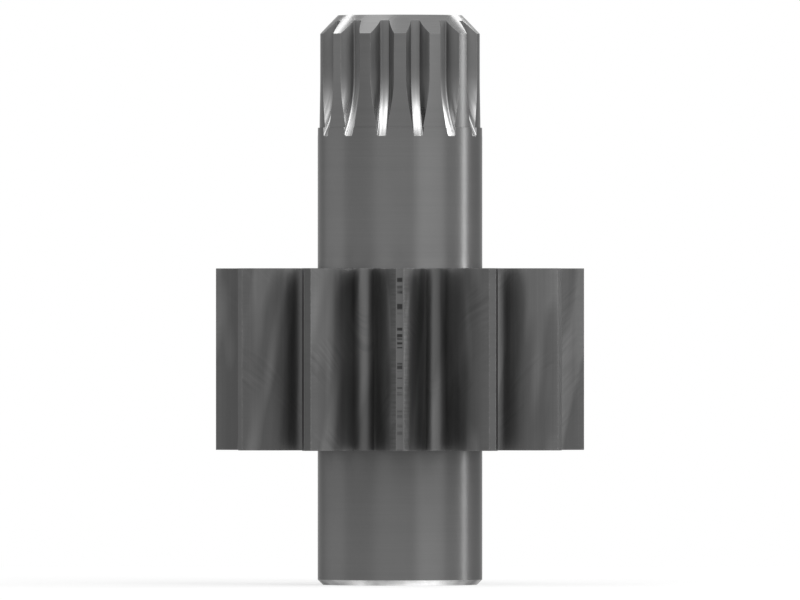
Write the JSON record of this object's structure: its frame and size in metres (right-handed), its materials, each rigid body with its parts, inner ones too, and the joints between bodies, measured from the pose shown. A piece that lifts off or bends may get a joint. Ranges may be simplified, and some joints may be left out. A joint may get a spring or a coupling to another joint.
{
  "type": "oil pump gear",
  "caption": "Steel pump gear in one piece with its shaft: spur teeth between two plain journals, with an involute spline on the upper end.",
  "frame": {"origin": "centre of the plain end's face, on the shaft axis, where the part stands", "axes": "+Z along the shaft from the plain end to the splined end; -Y through the middle of one gear tooth and one spline tooth"},
  "size_m": [0.071, 0.071, 0.1098],
  "materials": {
    "steel": "dark satin, hardened and ground"
  },
  "bodies": {
    "root": {"drive_gear_shaft": "steel"}
  },
  "joints": []
}
